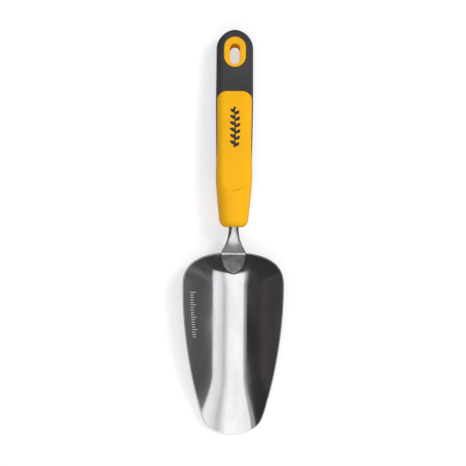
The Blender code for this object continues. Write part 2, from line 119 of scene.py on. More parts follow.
# Each row: distance s, half width, height of the rounded front, depth of the back,
# height of the flat front, power
GRIP_ROWS = (
    (0.000, 0.01480, 0.0102, 0.0098, 0.0092, 2.8),
    (0.016, 0.01485, 0.0104, 0.0101, 0.0093, 2.8),
    (0.040, 0.01495, 0.0116, 0.0112, 0.0103, 2.8),
    (0.060, 0.01505, 0.0128, 0.0123, 0.0114, 2.8),
    (0.080, 0.01480, 0.0133, 0.0128, 0.0119, 2.8),
    (0.100, 0.01450, 0.0132, 0.0124, 0.0118, 2.8),
    (0.120, 0.01440, 0.0129, 0.0114, 0.0115, 2.7),
    (0.131, 0.01365, 0.0127, 0.0109, 0.0114, 2.5),
    (0.142, 0.01262, 0.0118, 0.0106, 0.0112, 2.3),
    (0.159, 0.01080, 0.0104, 0.0102, 0.0110, 2.2),
)
HALF_WIDTH, CROWN, DEPTH, FLAT, POWER = range(1, 6)
BACK_POWER = 2.35
SHOULDER = 0.0012
BACK_FLAT, BACK_FLAT_END = 0.0093, 0.028
BACK_FLAT_RUNOUT, BACK_FLAT_RELEASE = 0.030, 0.006
THUMB_CENTRE, THUMB_RADIUS = 0.120, 0.0092
THUMB_STEP, THUMB_RISE = 0.0024, 0.0030
PANEL_START, PANEL_CORNER, PANEL_FLAT_END = 0.0503, 0.0088, 0.0058
PANEL_PROUD = 0.0002
# Each row: distance s, height of the split between the two mouldings
SPLIT_ROWS = (
    (0.0500, 0.0073),
    (0.0900, 0.0073),
    (0.1050, 0.0052),
    (0.1180, 0.0002),
    (0.1280, -0.0055),
    (0.1360, -0.0115),
    (0.1420, -0.0180),
    (0.1650, -0.0200),
)
SLEEVE_SEARCH = (0.120, 0.150)
NEARLY_UP = 1.56
SEAM_ACROSS, SEAM_ALONG = 600, 1400
# The quarter round at the seam, and the distances from it of the rows that draw the round
EDGE_ROLL = 0.0005
EDGE_STEPS = (0.0, 0.00004, 0.00012, 0.00025, 0.0005)
SHELL = 0.0018
# The CAD grip's coarser faces cut just inside the true curves. The drawn surface is as far in.
TUCK = 0.000065

# Rows of the two mouldings. They come closer and closer to the toe, which ends blunt.
DOME_ROWS, END_ROWS, CORNER_ROWS, BODY_ROWS = 44, 32, 30, 44
BACK_COLUMNS, BACK_COLUMNS_OVER, FRONT_COLUMNS = 96, 44, 96
ROUGH_GIRTH, PANEL_GIRTH, PANEL_END_GIRTH, BACK_GIRTH = 5, 0.045, 0.012, 0.05
SEAM_LEAD, PANEL_LEAD = 0.0008, 0.0006
BACK_BODY_END, BACK_TOE_ROWS = 0.118, 40
FRONT_BODY_END, THUMB_ROWS_START, THUMB_ROWS_END, THUMB_ROWS = 0.117, 0.1174, 0.1350, 50
SLEEVE_ROWS_START, SLEEVE_ROWS, NOSE_ROWS = 0.1354, 34, 18
TOE_SPAN, FRONT_TOE_ROWS, TOE_POWER = 0.0039, 24, 1.7
TOE_CLEAR_BEFORE, TOE_CLEAR_AFTER = 0.004, 0.0006
BLUNT = 0.00006
SHANK_HOLE = 0.00395
# The nose's end: how far in towards the shank's hole each ring is, and how far inside the end
NOSE_END_RINGS = ((0.35, 0.0), (0.7, 0.0), (0.93, 0.0), (1.0, 0.0004), (1.0, 0.003))

# Eyelet
EYELET_S, EYELET_HALF_WIDTH, EYELET_HALF_LENGTH = 0.0184, 0.00885, 0.0124
SLOT_S, SLOT_HALF_WIDTH, SLOT_HALF_LENGTH = 0.0201, 0.0039, 0.0083
EYELET_FRONT, EYELET_BACK = 0.0097, 0.0092
EYELET_ROUND, SLOT_ROUND = 0.0011, 0.0007
FLANGE, FLANGE_HALF_HEIGHT = 0.0013, 0.0015
STADIUM_POINTS, QUARTER_STEPS = 96, 6
CUTTER_REACH = 0.03

# Sprig printed on the panel
SPRIG_START, SPRIG_END, SPRIG_ABOVE = 0.0635, 0.0965, 0.00003
STEM_BEND, STEM_STEPS, STEM_TIP_GAP = 0.0006, 40, 0.001
STEM_HALF_WIDTH, STEM_THICKENING = 0.00048, 0.00026
LEAF_PAIRS, FIRST_PAIR, PAIR_STEP = 6, 0.0042, 0.0051
LEAF_REACH, LEAF_SWELL, LEAF_STAGGER, LEAF_RISE = 0.0037, 0.0006, 0.0012, 0.0030
LEAF_WIDTH, LEAF_CURL, LEAF_POWER = 0.0027, 0.12, 0.8
LEAF_STEPS, LEAF_ACROSS = 12, 4
TOP_LEAF_ROOT, TOP_LEAF_TIP, TOP_LEAF_WIDTH = 0.0018, -0.0008, 0.0022

# The slant of the grinding strokes on the tongue, and where the ground part ends
STROKE_TURN = math.radians(52)
GROUND_END_Y, GROUND_FADE = HEEL_EDGE_Y - 0.0022, 0.0016

# Studio. The ceiling of softboxes: each strip's left and right edge, brightness and colour
CEILING_HEIGHT = 1.1
CEILING_ENDS = (-2.55, 0.14)
CEILING_STRIPS = (
    (-0.78, -0.62, 0.45, (1.0, 1.0, 1.0)),
    (-0.62, 0.28, 1.34, (1.0, 1.0, 0.985)),
    (0.28, 0.38, 1.16, (1.0, 1.0, 1.0)),
    (0.38, 0.46, 0.98, (0.99, 0.99, 1.0)),
    (0.46, 0.58, 0.80, (0.98, 0.98, 1.0)),
    (0.58, 0.66, 0.93, (0.975, 0.975, 1.0)),
    (0.66, 0.80, 1.07, (0.975, 0.975, 1.0)),
    (0.80, 1.13, 1.17, (0.97, 0.97, 1.0)),
)
# A dim softbox past its end, which the neck reflects
BACK_ENDS = (0.14, 1.9)
BACK_SIDES = (-0.9, 1.2)
BACK_BRIGHTNESS = 0.34
# The key light casts the soft shadow to the left
KEY_PLACE, KEY_SIZE, KEY_BRIGHTNESS = (1.62, 1.05, 2.05), (0.80, 0.80), 19.5
PALE_STRENGTH = 0.30
# The dark studio round it, from far left to far right, as reflections see it
SURROUND = (
    (0.00, (0.170, 0.165, 0.165)),
    (0.052, (0.145, 0.141, 0.141)),
    (0.057, (0.077, 0.072, 0.070)),
    (0.064, (0.062, 0.057, 0.054)),
    (0.092, (0.083, 0.076, 0.071)),
    (0.106, (0.041, 0.038, 0.042)),
    (0.30, (0.040, 0.037, 0.038)),
    (0.78, (0.070, 0.066, 0.066)),
    (0.868, (0.200, 0.197, 0.202)),
    (0.892, (0.138, 0.132, 0.132)),
    (0.925, (0.116, 0.109, 0.106)),
    (0.945, (0.195, 0.190, 0.190)),
    (1.00, (0.240, 0.236, 0.236)),
)
# The floor: a pale paper with a faint glow, and its dark colour in reflections
FLOOR_HALF_SIZE, FLOOR_DROP = 20.0, 0.0002
FLOOR_COLOUR, FLOOR_ROUGHNESS, FLOOR_SHINE = (0.43, 0.43, 0.43, 1), 0.9, 0.1
FLOOR_GLOW_COLOUR, FLOOR_GLOW = (0.98, 0.98, 1.0, 1), 0.57
FLOOR_REFLECTED = (0.13, 0.125, 0.12, 1)
SENSOR_WIDTH, LENS = 36, 94.56
CAMERA_PLACE, CAMERA_TURN = (-0.0005, 0.0006, 1.0), math.radians(0.40)


def smooth_step(value):
    value = min(1.0, max(0.0, value))
    return value * value * (3 - 2 * value)


def smooth_min(a, b, width):
    """The smaller of two lengths, rounded over about this width where they cross."""
    near = max(0.0, width - abs(a - b)) / width
    return min(a, b) - near * near * width / 4


def along(rows, s, column):
    """One column of the rows at the distance s, on a smooth curve through them."""
    last = len(rows) - 1
    i = max(n for n in range(last) if n == 0 or rows[n][0] <= s)
    before, a, b, after = (rows[min(last, max(0, n))] for n in (i - 1, i, i + 1, i + 2))
    span = b[0] - a[0]
    t = min(1.0, max(0.0, (s - a[0]) / span))
    start = (b[column] - before[column]) / (b[0] - before[0]) * span
    end = (after[column] - a[column]) / (after[0] - a[0]) * span
    step = smooth_step(t)
    return (
        a[column] * (1 - step)
        + b[column] * step
        + start * t * (1 - t) ** 2
        - end * t * t * (1 - t)
    )


def superellipse(half_width, half_height, power, sides):
    """Points round an oval: an ellipse at power 2, nearly a rectangle at high powers."""
    points = []
    for i in range(sides):
        angle = 2 * math.pi * (i + 0.5) / sides
        across, up = math.cos(angle), math.sin(angle)
        points.append(
            (
                math.copysign(abs(across) ** (2 / power), across) * half_width,
                math.copysign(abs(up) ** (2 / power), up) * half_height,
            )
        )
    return points


def spread(start, end, count):
    """Evenly spaced values from start to end, in count steps."""
    return [start + (end - start) * i / count for i in range(count + 1)]


def make_piece(name, mesh, material, node=None, sharp=35, closed=True):
    """A shown piece from a bmesh, riding on the row's one body. sharp is in degrees."""
    bmesh.ops.remove_doubles(mesh, verts=mesh.verts, dist=MERGE)
    if closed:
        bmesh.ops.recalc_face_normals(mesh, faces=mesh.faces)
    data = bpy.data.meshes.new(name)
    mesh.to_mesh(data)
    mesh.free()
    data.shade_smooth()
    data.set_sharp_from_angle(angle=math.radians(sharp))
    data.materials.append(material)
    piece = bpy.data.objects.new(name, data)
    bpy.context.scene.collection.objects.link(piece)
    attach(piece, "root")
    if node:
        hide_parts(node)
    return piece


def loft(rings, closed_loop=False):
    """A body through rings of equally many points, capped unless the last meets the first."""
    mesh = bmesh.new()
    loops = [[mesh.verts.new(point) for point in ring] for ring in rings]
    following = loops[1:] + (loops[:1] if closed_loop else [])
    for here, there in zip(loops, following):
        for i in range(len(here)):
            mesh.faces.new((here[i - 1], here[i], there[i], there[i - 1]))
    if not closed_loop:
        mesh.faces.new(loops[0])
        mesh.faces.new(loops[-1])
    return mesh


def grid(mesh, rows):
    """Faces between rows of equally many points, in an open strip."""
    verts = [[mesh.verts.new(point) for point in row] for row in rows]
    for here, there in zip(verts, verts[1:]):
        for j in range(len(here) - 1):
            mesh.faces.new((here[j], there[j], there[j + 1], here[j + 1]))


# ---------------------------------------------------------------- blade


def side_half_width(y):
    down = max(0.0, (HEEL_START_Y - y) / SIDE_TAPER_LENGTH)
    return BLADE_HALF_WIDTH - SIDE_TAPER * down**SIDE_TAPER_POWER


def blade_outline():
    """The right-hand outline from the heel's middle to the tip's middle, as (x, y) points."""
    points = []
    for i in range(HEEL_STATIONS):
        angle = math.pi / 2 * (1 - i / HEEL_STATIONS)
        x = BLADE_HALF_WIDTH * math.cos(angle) ** (2 / HEEL_POWER) if i else 0.0
        back = math.sin(angle) ** (2 / HEEL_POWER)
        points.append((x, HEEL_START_Y + (HEEL_EDGE_Y - HEEL_START_Y) * back))
    tip_centre = TIP_RADIUS - HALF_LENGTH
    for i in range(SIDE_STATIONS):
        y = HEEL_START_Y + (tip_centre - HEEL_START_Y) * i / SIDE_STATIONS
        tip_limit = TIP_RADIUS + TIP_CORNER_REACH * (y - tip_centre)
        points.append((smooth_min(side_half_width(y), tip_limit, TIP_CORNER), y))
    for i in range(TIP_STATIONS + 1):
        angle = math.pi / 2 * i / TIP_STATIONS
        y = tip_centre - TIP_RADIUS * math.sin(angle)
        arc = TIP_RADIUS * math.cos(angle)
        x = smooth_min(side_half_width(y), arc, TIP_CORNER) if i < TIP_STATIONS else 0.0
        points.append((x, y))
    return points


def blade_centre(y):
    """Where on the centre line the mesh row to the outline point at y starts."""
    tip_centre = TIP_RADIUS - HALF_LENGTH
    if y > HEEL_START_Y:
        return HEEL_START_Y + FAN * (y - HEEL_START_Y)
    if y < tip_centre:
        return tip_centre + FAN * (y - tip_centre)
    return y


def channel_height(x, y):
    """Height of the sheet's underside."""
    back = max(0.0, (y - HEEL_START_Y) / (HEEL_EDGE_Y - HEEL_START_Y)) * BLADE_HALF_WIDTH
    reach = (abs(x) ** HEEL_POWER + back**HEEL_POWER) ** (1 / HEEL_POWER)
    flare = smooth_step((FLARE_START_Y - y) / (FLARE_START_Y + HALF_LENGTH))
    spread_out = CHANNEL_SPREAD + (TIP_CHANNEL_SPREAD - CHANNEL_SPREAD) * flare
    return WALL_SLOPE * (math.hypot(reach, spread_out) - spread_out)


def channel_normal(x, y):
    step = NORMAL_STEP
    slope_x = (channel_height(x + step, y) - channel_height(x - step, y)) / (2 * step)
    slope_y = (channel_height(x, y + step) - channel_height(x, y - step)) / (2 * step)
    return Vector((-slope_x, -slope_y, 1.0)).normalized()


def inner_point(x, y, above=0.0):
    """The point of the inner face over (x, y) on the underside."""
    return Vector((x, y, channel_height(x, y))) + channel_normal(x, y) * (SHEET + above)


def blade_mesh():
    """The right-hand half of the sheet's underside."""
    mesh = bmesh.new()
    rows = []
    for edge_x, edge_y in blade_outline():
        middle_y = blade_centre(edge_y)
        row = []
        for j in range(ROWS_ACROSS + 1):
            share = j / ROWS_ACROSS
            x = edge_x * share
            y = middle_y + (edge_y - middle_y) * share
            row.append((x, y, channel_height(x, y)))
        rows.append(row)
    grid(mesh, rows)
    return mesh


def make_blade(material, edge_material):
    """The sheet, mirrored and thickened, with its cut edge in a material of its own."""
    blade = make_piece(
        "blade_sheet", blade_mesh(), material, "blade", closed=False
    )
    blade.data.materials.append(edge_material)
    mirror = blade.modifiers.new("other half", "MIRROR")
    mirror.merge_threshold = 0.00001
    sheet = blade.modifiers.new("sheet", "SOLIDIFY")
    sheet.thickness = SHEET
    sheet.offset = 1.0
    sheet.use_even_offset = True
    sheet.material_offset_rim = 1
    rim = blade.modifiers.new("rim", "BEVEL")
    rim.width = RIM_ROUND
    rim.segments = RIM_SEGMENTS
    rim.limit_method = "ANGLE"
    rim.angle_limit = math.radians(60)


# ---------------------------------------------------------------- shank


def wall_point(reach):
    """The heel wall's underside on the centre line: y, z and slope this far up the wall."""
    depth = HEEL_EDGE_Y - HEEL_START_Y
    spoke = math.hypot(reach, CHANNEL_SPREAD)
    z = WALL_SLOPE * (spoke - CHANNEL_SPREAD)
    slope = math.atan2(WALL_SLOPE * reach * BLADE_HALF_WIDTH / depth, spoke)
    return HEEL_START_Y + depth * reach / BLADE_HALF_WIDTH, z, slope


def wrap(x, reach):
    """How far forward the heel wall has curved at x, at this reach up the wall."""
    if not reach:
        return 0.0
    straight = max(0.0, reach**HEEL_POWER - abs(x) ** HEEL_POWER) ** (1 / HEEL_POWER)
    return (reach - straight) * (HEEL_EDGE_Y - HEEL_START_Y) / BLADE_HALF_WIDTH


def strap_ring(centre, slope, half_width, half_thickness, power, reach=0.0):
    """A section across the shank at centre (y, z). With a reach it follows the heel wall."""
    ring = []
    for x, up in superellipse(half_width, half_thickness, power, SHANK_SIDES):
        y = centre[0] - up * math.sin(slope) - wrap(x, reach)
        ring.append(Vector((x, y, centre[1] + up * math.cos(slope))))
    return ring


def tongue_rings():
    """The tongue's sections from its toe up to the heel's edge, and the last one's place."""
    rings = []
    offset = SHEET + GAP + TONGUE_HALF_THICKNESS
    for i in range(TONGUE_STATIONS + 1):
        share = 1 - math.cos(math.pi / 2 * i / TONGUE_STATIONS)
        reach = TOE_REACH + (BLADE_HALF_WIDTH - TOE_REACH) * share
        y, z, slope = wall_point(reach)
        centre = (y - offset * math.sin(slope), z + offset * math.cos(slope))
        down = min(0.999, (HEEL_EDGE_Y - SHEET - centre[0]) / TONGUE_LENGTH)
        half_width = TONGUE_HALF_WIDTH * math.sqrt(1 - max(0.0, down) ** 2)
        rings.append(
            strap_ring(centre, slope, half_width, TONGUE_HALF_THICKNESS, STRAP_POWER, reach)
        )
    return rings, centre, slope


def shank_mesh(nose):
    """The forging: tongue, bend over the heel's edge, neck, and tang inside the grip."""
    rings, centre, slope = tongue_rings()
    centre = (centre[0] + CREST_RUN * math.cos(slope), centre[1] + CREST_RUN * math.sin(slope))
    pivot = (centre[0] + BEND_RADIUS * math.sin(slope), centre[1] - BEND_RADIUS * math.cos(slope))
    for i in range(BEND_STATIONS + 1):
        turn = slope + (BEND_END_SLOPE - slope) * i / BEND_STATIONS
        centre = (pivot[0] - BEND_RADIUS * math.sin(turn), pivot[1] + BEND_RADIUS * math.cos(turn))
        rings.append(
            strap_ring(centre, turn, CREST_HALF_WIDTH, TONGUE_HALF_THICKNESS, STRAP_POWER)
        )
    start = Vector((0.0, *centre))
    axis = Vector((0.0, math.cos(GRIP_TILT), -math.sin(GRIP_TILT)))
    reach = (nose.y - start.y) * NECK_CURVE_SHARE
    leave = start + reach * Vector((0.0, math.cos(BEND_END_SLOPE), math.sin(BEND_END_SLOPE)))
    arrive = nose - reach * axis
    for i in range(1, NECK_STATIONS + 1):
        t = i / NECK_STATIONS
        u = 1 - t
        point = start * u**3 + leave * 3 * t * u * u + arrive * 3 * t * t * u + nose * t**3
        along_it = (leave - start) * u * u + (arrive - leave) * 2 * t * u + (nose - arrive) * t * t
        spread_out = math.exp(-(((point.y - start.y) / FLARE_LENGTH) ** FLARE_POWER))
        half_width = NECK_RADIUS + (CREST_HALF_WIDTH - NECK_RADIUS) * spread_out
        half_thickness = NECK_RADIUS * (NECK_RADIUS / half_width) ** THINNING_POWER
        power = 2 + (STRAP_POWER - 2) * spread_out
        turn = math.atan2(along_it.z, along_it.y)
        rings.append(
            strap_ring((point.y, point.z), turn, half_width, half_thickness, power)
        )
    flat_start = TANG_LENGTH - TANG_FLAT_LENGTH
    for distance, flatness, size in (
        (flat_start - TANG_FLAT_RUN_IN, 0.0, 1.0),
        (flat_start - TANG_FLAT_RUN_IN / 2, 0.5, 1.0),
        (flat_start, 1.0, 1.0),
        (TANG_LENGTH - TANG_END, 1.0, 1.0),
        (TANG_LENGTH, 1.0, TANG_END_SIZE),
    ):
        point = nose + axis * distance
        half_width = NECK_RADIUS + (TANG_FLAT_HALF_WIDTH - NECK_RADIUS) * flatness
        half_thickness = NECK_RADIUS + (TANG_FLAT_HALF_THICKNESS - NECK_RADIUS) * flatness
        power = 2 + (TANG_FLAT_POWER - 2) * flatness
        rings.append(
            strap_ring(
                (point.y, point.z), -GRIP_TILT, half_width * size, half_thickness * size, power
            )
        )
    return loft(rings)


def weld_mesh():
    """A rippled bead down one edge of the tongue, round its toe and up the other."""
    half_width = TONGUE_HALF_WIDTH + BEAD_CLEAR
    length = TONGUE_LENGTH + BEAD_CLEAR
    path = []
    for i in range(BEAD_STATIONS + 1):
        angle = BEAD_TURN * (2 * i / BEAD_STATIONS - 1)
        x = half_width * math.sin(angle)
        target_y = HEEL_EDGE_Y - SHEET - length * math.cos(angle)
        low, high = BEAD_SEARCH_START, BLADE_HALF_WIDTH
        for _ in range(BISECTIONS):
            reach = (low + high) / 2
            y, z, slope = wall_point(reach)
            y -= (SHEET + BEAD_RISE) * math.sin(slope) + wrap(x, reach)
            z += (SHEET + BEAD_RISE) * math.cos(slope)
            low, high = (reach, high) if y < target_y else (low, reach)
        path.append(Vector((x, y, z)))
    rings = []
    for i, point in enumerate(path):
        ahead = path[min(i + 1, BEAD_STATIONS)] - path[max(i - 1, 0)]
        side = ahead.cross(BEAD_LEAN).normalized()
        up = side.cross(ahead).normalized()
        size = 1 - RIPPLE * abs(math.sin(math.pi * i / RIPPLE_STATIONS))
        size += UNEVEN * noise.noise(point * UNEVEN_SCALE)
        ring = []
        for j in range(BEAD_SIDES):
            angle = 2 * math.pi * j / BEAD_SIDES
            across = side * BEAD_HALF_WIDTH * size * math.cos(angle)
            ring.append(point + across + up * BEAD_HALF_HEIGHT * size * math.sin(angle))
        rings.append(ring)
    return loft(rings)


# ---------------------------------------------------------------- grip


def front_limit(s, x):
    """Height of the flat front face, which ends at the thumb rest in a crescent step."""
    flat = along(GRIP_ROWS, s, FLAT)
    if s <= THUMB_CENTRE:
        return flat
    reach = math.hypot(x, s - THUMB_CENTRE)
    return flat + THUMB_RISE * smooth_step((reach - THUMB_RADIUS) / THUMB_STEP)


class Section:
    """The grip's section at the distance s from its hanging end, bigger by grow all round."""

    def __init__(self, s, grow=0.0):
        self.s, self.grow = s, grow
        self.half_width = along(GRIP_ROWS, s, HALF_WIDTH)
        self.inset = 0.0
        if s < END_RADIUS:
            self.half_width *= math.sqrt(max(0.0, 1 - (1 - s / END_RADIUS) ** 2))
        if s < END_FILLET:
            self.inset = END_FILLET_DEPTH * (1 - math.sqrt(1 - (1 - s / END_FILLET) ** 2))
        past_fillet = (s - GRIP_LENGTH + NOSE_FILLET) / NOSE_FILLET
        if past_fillet > 0:
            self.inset = NOSE_FILLET_DEPTH * (1 - math.sqrt(max(0.0, 1 - past_fillet**2)))
            self.half_width -= self.inset
        self.crown = along(GRIP_ROWS, s, CROWN) - self.inset - TUCK
        self.depth = along(GRIP_ROWS, s, DEPTH) - self.inset - TUCK
        self.power = along(GRIP_ROWS, s, POWER)
        run_out = smooth_step((s - BACK_FLAT_END) / BACK_FLAT_RUNOUT)
        self.back_limit = BACK_FLAT - self.inset - TUCK + BACK_FLAT_RELEASE * run_out

    def at(self, angle):
        """The surface point (x, n) at an angle from +x through +n."""
        across, up = math.cos(angle), math.sin(angle)
        bend = self.power if up > 0 else BACK_POWER
        side = abs(across) ** (2 / bend)
        grow = self.grow if self.half_width > 0 else 0.0
        x = math.copysign(side, across) * (self.half_width + grow)
        if up > 0:
            height = abs(up) ** (2 / bend) * self.crown
            limit = front_limit(self.s, x) - self.inset - TUCK
            height = smooth_min(height, limit, SHOULDER) + self.grow * abs(up)
        else:
            height = -smooth_min(abs(up) ** (2 / bend) * self.depth, self.back_limit, SHOULDER)
            height -= self.grow * abs(up)
        return x, height

    def seam_angle(self, clear):
        """The angle of the panel's right-hand edge, or None past the sleeve's start."""
        low = along(SPLIT_ROWS, self.s, 1) - clear
        if self.at(-math.pi / 2)[1] >= low:
            return None
        down = (self.s - PANEL_START + clear) / PANEL_CORNER
        round_off = math.sqrt(max(0.0, 1 - (1 - min(1.0, max(0.0, down))) ** 2))
        widest = PANEL_FLAT_END + PANEL_CORNER * round_off + clear
        if down > 1:
            widest = math.inf
        a, b = -math.pi / 2, math.pi / 2
        for _ in range(BISECTIONS):
            middle = (a + b) / 2
            x, n = self.at(middle)
            inside = n > low and (x < widest or middle > NEARLY_UP)
            a, b = (a, middle) if inside else (middle, b)
        return (a + b) / 2


def sleeve_start(clear):
    """Where the panel's two edges meet under the grip."""
    a, b = SLEEVE_SEARCH
    for _ in range(BISECTIONS):
        middle = (a + b) / 2
        a, b = (a, middle) if Section(middle).seam_angle(clear) is None else (middle, b)
    return a


def columns(start, end, count, girth):
    """Angles from start to end over a girth in metres, with close steps at both rolled edges."""
    per_metre = min((end - start) / 3 / EDGE_STEPS[-1], (end - start) / max(girth, 1e-6))
    steps = [step * per_metre for step in EDGE_STEPS]
    inner = spread(start + steps[-1], end - steps[-1], count)
    return [start + step for step in steps[:-1]] + inner + [end - step for step in steps[-2::-1]]


def grip_point(s, x, n):
    return Vector((x, -s, n))


def seam_path(clear):
    """Close points of the panel's edge, on both sides and across its flat end."""
    points = []
    last = sleeve_start(clear)
    first = PANEL_START - clear
    end_section = Section(first)
    end_angle = Section(first + 1e-6).seam_angle(clear)
    for angle in spread(end_angle, math.pi - end_angle, SEAM_ACROSS):
        points.append(grip_point(first, *end_section.at(angle)))
    for i in range(SEAM_ALONG):
        s = first + (last - first) * (1 - math.cos(math.pi * (i + 0.5) / SEAM_ALONG)) / 2
        section = Section(s)
        angle = section.seam_angle(clear)
        if angle is not None:
            x, n = section.at(angle)
            points += [grip_point(s, x, n), grip_point(s, -x, n)]
    return points


def tree_of(points):
    tree = kdtree.KDTree(len(points))
    for i, point in enumerate(points):
        tree.insert(point, i)
    tree.balance()
    return tree


def roll_edges(mesh, clear):
    """Rolls the surface down by a quarter round at the seam, along its averaged normal."""
    seam = tree_of(seam_path(clear))
    bmesh.ops.recalc_face_normals(mesh, faces=mesh.faces)
    mesh.normal_update()
    mesh.verts.ensure_lookup_table()
    surface = tree_of([vert.co for vert in mesh.verts])
    moves = []
    for vert in mesh.verts:
        distance = seam.find(vert.co)[2]
        if distance < EDGE_ROLL:
            around = surface.find_range(vert.co, EDGE_ROLL)
            normal = sum((mesh.verts[i].normal for _, i, _ in around), Vector()).normalized()
            depth = EDGE_ROLL - math.sqrt(EDGE_ROLL**2 - (EDGE_ROLL - distance) ** 2)
            moves.append((vert, normal * depth))
    for vert, move in moves:
        vert.co -= move


def panel_corner(start):
    """Rows close together along the panel's round corner."""
    return [
        start + PANEL_CORNER * (1 - math.cos(math.pi / 2 * i / CORNER_ROWS))
        for i in range(CORNER_ROWS + 1)
    ]


def back_mesh():
    """The charcoal moulding's outer surface: hanging end, sides and back."""
    start, last = PANEL_START - GAP, sleeve_start(GAP)
    rows = [END_RADIUS * (1 - math.cos(math.pi / 2 * i / DOME_ROWS)) for i in range(DOME_ROWS)]
    rows += spread(END_RADIUS, start - SEAM_LEAD, END_ROWS)
    rows += [start - step for step in EDGE_STEPS[:0:-1]]
    first_angle = Section(start + 1e-6).seam_angle(GAP)
    side, over = [], []
    for s in rows + [start]:
        section = Section(s)
        girth = section.half_width * ROUGH_GIRTH
        angles = columns(math.pi - first_angle, 2 * math.pi + first_angle, BACK_COLUMNS, girth)
        side.append([grip_point(s, *section.at(angle)) for angle in angles])
        angles = spread(first_angle, math.pi - first_angle, BACK_COLUMNS_OVER)
        over.append([grip_point(s, *section.at(angle)) for angle in angles])
    body = spread(start + PANEL_CORNER + 0.001, BACK_BODY_END, BODY_ROWS)
    span = last - BLUNT - BACK_BODY_END
    toe = [
        BACK_BODY_END + span * (1 - (1 - i / BACK_TOE_ROWS) ** TOE_POWER)
        for i in range(1, BACK_TOE_ROWS + 1)
    ]
    for s in panel_corner(start)[1:] + body + toe:
        section = Section(s)
        edge = section.seam_angle(GAP)
        angles = columns(math.pi - edge, 2 * math.pi + edge, BACK_COLUMNS, BACK_GIRTH)
        side.append([grip_point(s, *section.at(angle)) for angle in angles])
    mesh = bmesh.new()
    grid(mesh, side)
    grid(mesh, over)
    bmesh.ops.remove_doubles(mesh, verts=mesh.verts, dist=MERGE)
    roll_edges(mesh, GAP)
    return mesh


def front_rows(last):
    """The distances s of the yellow moulding's rows, close together at every edge."""
    start = PANEL_START
    nose_start = GRIP_LENGTH - NOSE_FILLET
    rows = panel_corner(start) + spread(start + PANEL_CORNER + 0.001, FRONT_BODY_END, BODY_ROWS)
    rows += spread(THUMB_ROWS_START, THUMB_ROWS_END, THUMB_ROWS)
    rows += spread(SLEEVE_ROWS_START, nose_start, SLEEVE_ROWS)
    rows += [
        GRIP_LENGTH - NOSE_FILLET * (1 - math.sin(math.pi / 2 * i / NOSE_ROWS))
        for i in range(1, NOSE_ROWS + 1)
    ]
    rows = [s for s in rows if s < last - TOE_CLEAR_BEFORE or s > last + TOE_CLEAR_AFTER]
    rows += [
        last - BLUNT - TOE_SPAN * (1 - i / FRONT_TOE_ROWS) ** TOE_POWER
        for i in range(FRONT_TOE_ROWS + 1)
    ]
    rows = [s for s in rows if s - start > PANEL_LEAD]
    rows += [start + step for step in EDGE_STEPS] + [last + step for step in EDGE_STEPS[1:]]
    return sorted(set(rows))


def front_mesh():
    """The yellow moulding's outer surface: panel, sleeve, and nose with the shank's hole."""
    last = sleeve_start(0.0)
    strips = []
    for s in front_rows(last):
        section = Section(s, PANEL_PROUD)
        edge = Section(s).seam_angle(0.0)
        if edge is None or s >= last:
            edge = -math.pi / 2
        girth = PANEL_END_GIRTH if s < PANEL_START + 0.001 else PANEL_GIRTH
        angles = columns(edge, math.pi - edge, FRONT_COLUMNS, girth)
        strips.append([grip_point(s, *section.at(angle)) for angle in angles])
    rim = strips[-1]
    for share, deeper in NOSE_END_RINGS:
        ring = []
        for point in rim:
            hole = Vector((point.x, 0, point.z)).normalized() * SHANK_HOLE
            x = point.x + (hole.x - point.x) * share
            z = point.z + (hole.z - point.z) * share
            ring.append(Vector((x, point.y + deeper, z)))
        strips.append(ring)
    mesh = bmesh.new()
    grid(mesh, strips)
    bmesh.ops.remove_doubles(mesh, verts=mesh.verts, dist=MERGE)
    roll_edges(mesh, 0.0)
    return mesh


def stadium(half_width, half_length, middle, height):
    """A ring with round ends and straight sides, at the distance middle and this height."""
    ring = []
    straight = half_length - half_width
    for i in range(STADIUM_POINTS):
        angle = 2 * math.pi * (i + 0.5) / STADIUM_POINTS
        side = math.copysign(straight, math.sin(angle))
        y = side + half_width * math.sin(angle) - middle
        ring.append(Vector((half_width * math.cos(angle), y, height)))
    return ring


def quarter(height, direction, round_off, inward=-1):
    """Profile points (height, more) round an edge of this radius."""
    points = []
    for i in range(QUARTER_STEPS + 1):
        angle = math.pi / 2 * i / QUARTER_STEPS
        points.append(
            (
                height - direction * round_off * (1 - math.sin(angle)),
                inward * round_off * (1 - math.cos(angle)),
            )
        )
    return points


def eyelet_mesh():
    """The oval bush: round edges, a flange half way, and the slot through it."""
    outside = quarter(-EYELET_BACK, -1, EYELET_ROUND)[::-1]
    outside += [
        (-FLANGE_HALF_HEIGHT, 0.0),
        (-FLANGE_HALF_HEIGHT, FLANGE),
        (FLANGE_HALF_HEIGHT, FLANGE),
        (FLANGE_HALF_HEIGHT, 0.0),
    ]
    outside += quarter(EYELET_FRONT, 1, EYELET_ROUND)
    rings = [
        stadium(EYELET_HALF_WIDTH + more, EYELET_HALF_LENGTH + more, EYELET_S, height)
        for height, more in outside
    ]
    slot = quarter(EYELET_FRONT, 1, SLOT_ROUND, inward=1)[::-1]
    slot += quarter(-EYELET_BACK, -1, SLOT_ROUND, inward=1)
    rings += [
        stadium(SLOT_HALF_WIDTH + more, SLOT_HALF_LENGTH + more, SLOT_S, height)
        for height, more in slot
    ]
    return loft(rings, closed_loop=True)


def eyelet_space():
    """The space for the bush in the charcoal moulding, longer than the hole at both ends."""
    flange = FLANGE_HALF_HEIGHT + GAP
    profile = (
        (-CUTTER_REACH, 0.0),
        (-flange, 0.0),
        (-flange, FLANGE),
        (flange, FLANGE),
        (flange, 0.0),
        (CUTTER_REACH, 0.0),
    )
    return loft(
        [
            stadium(EYELET_HALF_WIDTH + more + GAP, EYELET_HALF_LENGTH + more + GAP, EYELET_S, h)
            for h, more in profile
        ]
    )


